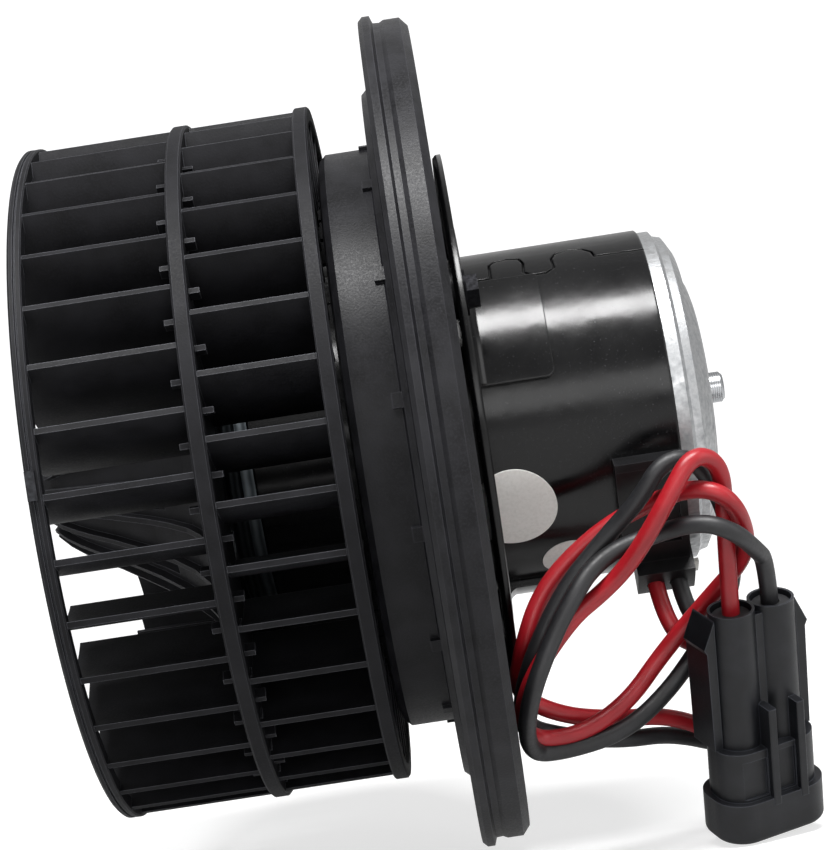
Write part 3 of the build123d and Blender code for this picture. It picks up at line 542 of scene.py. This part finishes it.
class BLOWER_OT_wheel(bpy.types.Operator):
    """Finish the two blade rows and the hub of the wheel"""
    bl_idname = "blower.wheel"
    bl_label = "Wheel"

    def execute(self, context):
        colour = context.scene.blower_colours.wheel
        # Edge colour #606166: a painted highlight along the blade and rim edges, partly rubbed wear
        plastic = filled_polypropylene("Glass filled polypropylene", colour, "#1C1C1F", "#606166",
                                       edge=0.22, smooth=0.50, sheen=0.14)
        dress(plastic, "wheel_inlet_row", "wheel_motor_row", "wheel_hub")
        return {"FINISHED"}


class BLOWER_OT_armature(bpy.types.Operator):
    """Finish the shaft, the armature and its commutator"""
    bl_idname = "blower.armature"
    bl_label = "Armature"

    def execute(self, context):
        ground = turned_metal("Ground steel", "#BFC1C3", "#9A9C9F", 0.26)
        dress(ground, "shaft")
        steel = fine_grained("Stacked electrical steel", "#55575A", "#6E7073", 1.0, 0.5, metallic=1.0)
        dress(steel, "armature_core")
        copper = fine_grained("Enamelled copper wire", "#7C3418", "#A4502A", 1.2, 0.32, metallic=1.0)
        dress(copper, "armature_windings")
        turned = turned_metal("Turned copper", "#C07A50", "#9A5A38", 0.3)
        dress(turned, "commutator")
        nylon = fine_grained("Natural nylon", "#C8C2AE", "#D8D2C0", 2.0, 0.45, ior=1.53)
        dress(nylon, "thrust_washers")
        return {"FINISHED"}


class BLOWER_OT_brush_gear(bpy.types.Operator):
    """Finish the brush card, the holders and the brushes"""
    bl_idname = "blower.brush_gear"
    bl_label = "Brush gear"

    def execute(self, context):
        card = fine_grained("Paper laminate board", "#4A2C12", "#6A4420", 2.5, 0.5, ior=1.55)
        dress(card, "brush_card")
        brass = plated_metal("Pressed brass", "#C8A860", "#A88844", 0.28, 0.42)
        dress(brass, "brush_holder_upper", "brush_holder_lower")
        carbon = fine_grained("Copper graphite", "#1C1A19", "#3A302A", 0.6, 0.55, ior=1.8)
        dress(carbon, "brush_upper", "brush_lower")
        return {"FINISHED"}


class BLOWER_OT_plug(bpy.types.Operator):
    """Finish the terminal block on the can and the two-way plug"""
    bl_idname = "blower.plug"
    bl_label = "Block and plug"

    def execute(self, context):
        # Edge colour #2C2C2E: partly rubbed wear, partly a painted highlight on the block's corners
        block = moulded_nylon("Moulded black nylon", "#0A0A0B", "#141416", "#2C2C2E", 0.34, 0.22)
        dress(block, "terminal_block")
        tin = plated_metal("Tinned brass", "#B9B7B2", "#94928D", 0.25, 0.4)
        dress(tin, "terminal_clip", "terminal_red", "terminal_black")
        colour = context.scene.blower_colours.plug
        # Edge colour #3A3C42: partly rubbed wear, partly a painted highlight on the plug's corners
        plug = moulded_nylon("Moulded dark nylon", colour, "#1A1B1F", "#3A3C42", 0.38, 0.30)
        dress(plug, "plug_housing", "plug_lock")
        seal = fine_grained("Silicone seal", "#18181A", "#222224", 2.0, 0.5, ior=1.43)
        dress(seal, "wire_seal_red", "wire_seal_black")
        return {"FINISHED"}


class BLOWER_OT_wires(bpy.types.Operator):
    """Lay the red and the black wire from the block to the plug"""
    bl_idname = "blower.wires"
    bl_label = "Wires"

    def execute(self, context):
        sizes, colours = context.scene.blower_sizes, context.scene.blower_colours
        red = vinyl_insulation("Vinyl insulation red_wire", colours.red, "#A81C26", 0.32)
        black = vinyl_insulation("Vinyl insulation black_wire", colours.black, "#1E1E21", 0.42)
        jobs = (
            ("Red_wire", "red_wire", RED_ROUTE, red, "red_insulation", sizes.red_length,
             ["wire_seal_red", "terminal_red", "plug_housing", "plug_lock"]),
            ("Black_wire", "black_wire", BLACK_ROUTE, black, "black_insulation", sizes.black_length,
             ["wire_seal_black", "terminal_black"]),
        )
        for name, node, route, insulation, slot, length, carried in jobs:
            wire = make_wire(name, route, sizes.wire / 2)
            wire.data.materials.append(insulation)
            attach(wire, "stator")
            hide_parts(node)
        return {"FINISHED"}


class BLOWER_OT_stage(bpy.types.Operator):
    """Set up the floor, the backdrop, the air, the lamps and the photograph's camera"""
    bl_idname = "blower.stage"
    bl_label = "Studio and camera"

    def execute(self, context):
        scene = context.scene
        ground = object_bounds()[0][2] - FLOOR_GAP
        sheet = studio_sheet(scene.blower_sizes.floor, ground)
        sheet.data.materials.append(studio_paper())
        sheet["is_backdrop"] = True
        scene.world = studio_air()
        for lamp in LAMPS:
            soft_box(*lamp)
        scene.camera = photograph_camera()
        scene.view_settings.view_transform = "Standard"
        return {"FINISHED"}


class BLOWER_PT_panel(bpy.types.Panel):
    """Sidebar panel with the blower's steps, sizes and colours"""
    bl_idname = "BLOWER_PT_panel"
    bl_label = "Cabin blower"
    bl_space_type = "VIEW_3D"
    bl_region_type = "UI"
    bl_category = "Blower"

    def draw(self, context):
        column = self.layout.column()
        for step in STEPS:
            column.operator(step.bl_idname)
        for group in (context.scene.blower_sizes, context.scene.blower_colours):
            for key in type(group).__annotations__:
                column.prop(group, key)


STEPS = (BLOWER_OT_flange, BLOWER_OT_motor_case, BLOWER_OT_wheel, BLOWER_OT_armature,
         BLOWER_OT_brush_gear, BLOWER_OT_plug, BLOWER_OT_wires, BLOWER_OT_stage)
CLASSES = (BlowerSizes, BlowerColours, *STEPS, BLOWER_PT_panel)


def register():
    """Register the classes and hang the two groups of settings on the scene."""
    for each in CLASSES:
        bpy.utils.register_class(each)
    bpy.types.Scene.blower_sizes = bpy.props.PointerProperty(type=BlowerSizes)
    bpy.types.Scene.blower_colours = bpy.props.PointerProperty(type=BlowerColours)


def unregister():
    """Take the settings and the classes away again."""
    del bpy.types.Scene.blower_colours
    del bpy.types.Scene.blower_sizes
    for each in reversed(CLASSES):
        bpy.utils.unregister_class(each)


def main():
    register()
    bpy.ops.blower.flange()
    bpy.ops.blower.motor_case()
    bpy.ops.blower.wheel()
    bpy.ops.blower.armature()
    bpy.ops.blower.brush_gear()
    bpy.ops.blower.plug()
    bpy.ops.blower.wires()
    bpy.ops.blower.stage()


if __name__ == "__main__":
    main()
